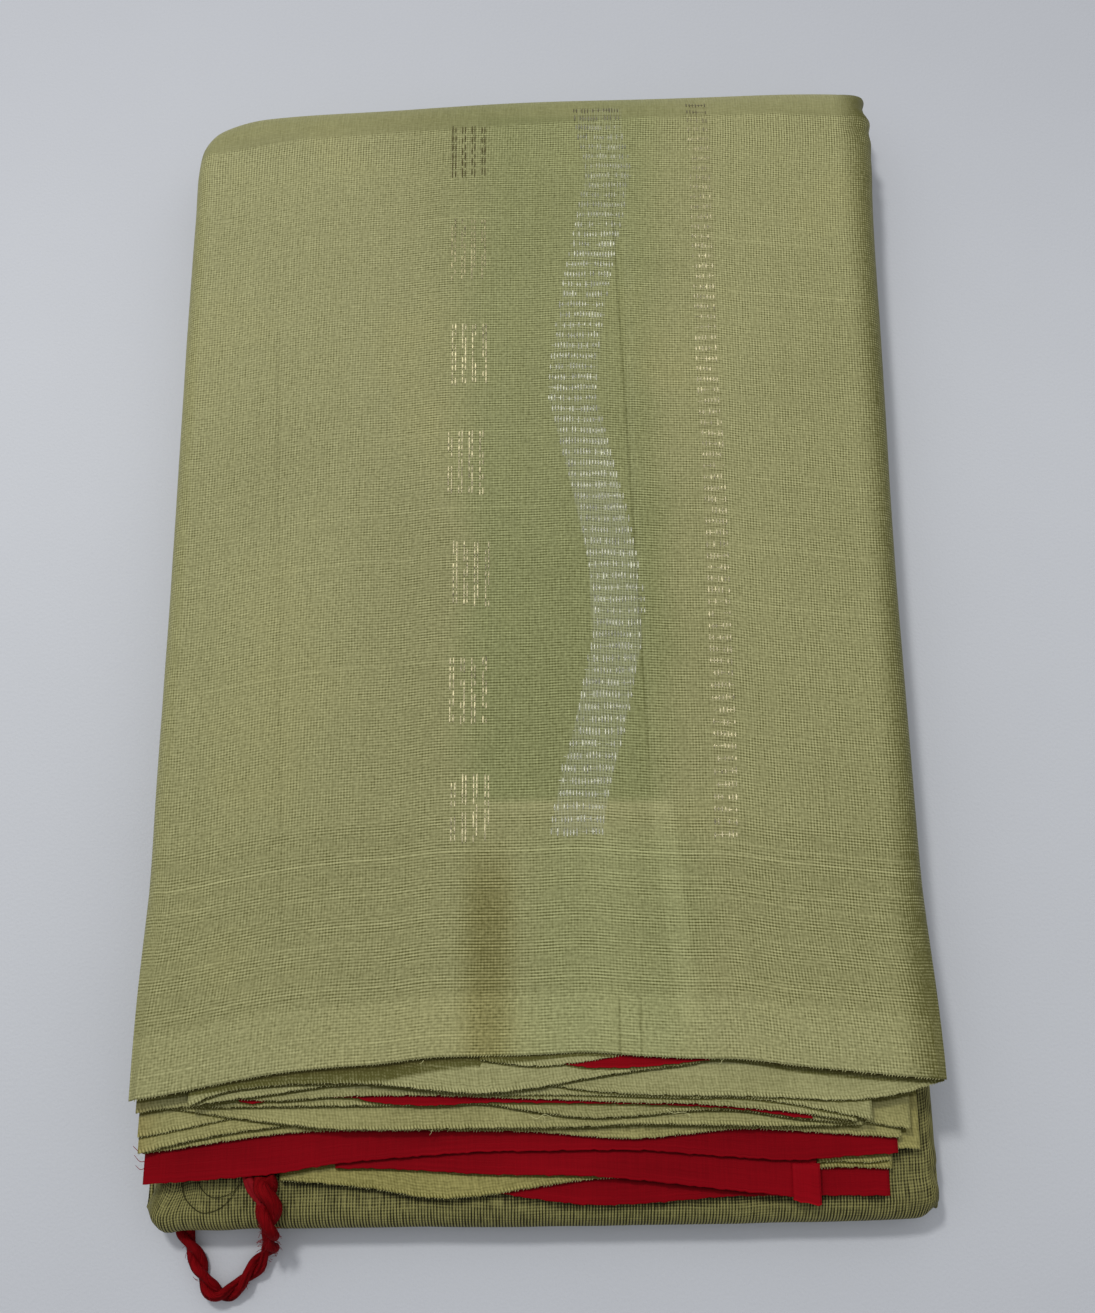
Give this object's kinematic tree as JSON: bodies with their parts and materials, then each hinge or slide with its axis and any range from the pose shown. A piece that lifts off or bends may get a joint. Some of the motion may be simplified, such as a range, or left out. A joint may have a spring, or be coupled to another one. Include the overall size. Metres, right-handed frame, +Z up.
{
  "type": "folded saree",
  "caption": "Olive silk saree folded into a flat pack, with a deep red end fanned out at the foot fold, woven zari dashes on top and a twisted red cord.",
  "frame": {"origin": "middle of the flat underside, at the centre of the pack seen from above and on the surface it lies on; the cord is left out", "axes": "+Y from the foot fold with the fanned free edges to the rolled head fold, +X across the pack to the right seen from the foot fold, +Z up out of the top panel"},
  "size_m": [0.2743, 0.4595, 0.0296],
  "materials": {
    "olive_silk": "satin",
    "red_silk": "satin",
    "red_cord": "matte"
  },
  "bodies": {
    "root": {"under_panel": "olive_silk", "foot_fold": "olive_silk", "head_fold": "olive_silk", "top_panel": "olive_silk", "folded_stack": "olive_silk", "leaf_green_1": "olive_silk", "leaf_green_2": "olive_silk", "leaf_green_3": "olive_silk", "leaf_green_4": "olive_silk", "leaf_green_5": "olive_silk", "leaf_green_6": "olive_silk", "leaf_green_7": "olive_silk", "leaf_green_8": "olive_silk", "leaf_green_9": "olive_silk", "leaf_green_10": "olive_silk", "leaf_red_1": "red_silk", "leaf_red_2": "red_silk", "leaf_red_3": "red_silk", "red_tab": "red_silk", "tassel_cord": "red_cord"}
  },
  "joints": []
}
